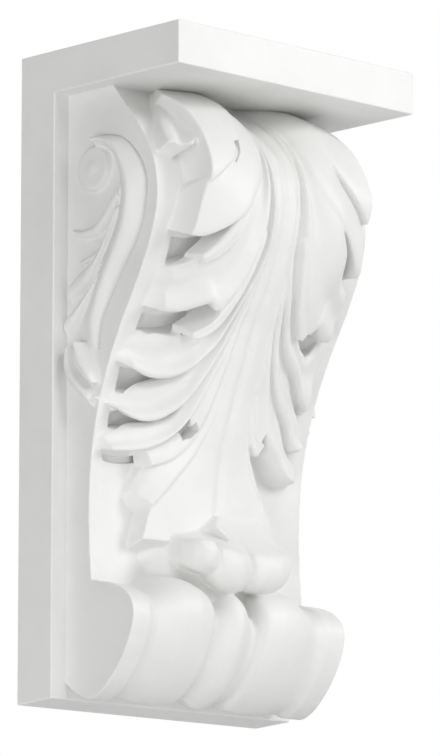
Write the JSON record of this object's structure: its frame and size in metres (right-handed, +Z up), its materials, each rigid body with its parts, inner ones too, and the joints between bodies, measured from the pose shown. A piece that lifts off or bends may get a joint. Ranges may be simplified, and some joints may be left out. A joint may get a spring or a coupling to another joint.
{
  "type": "console bracket",
  "caption": "Moulded wall corbel: a square-edged slab on an S-shaped body with scrolled sides, an acanthus leaf down its front and a rolled volute foot.",
  "frame": {"origin": "centre of the flat back face, on the wall plane", "axes": "+Z up along the wall, +Y into the wall, so the front faces -Y; X runs across the bracket"},
  "size_m": [0.151, 0.106, 0.3],
  "materials": {
    "primed_white": "smooth white factory primer over rigid polyurethane, satin"
  },
  "bodies": {
    "root": {"console_bracket": "primed_white"}
  },
  "joints": []
}
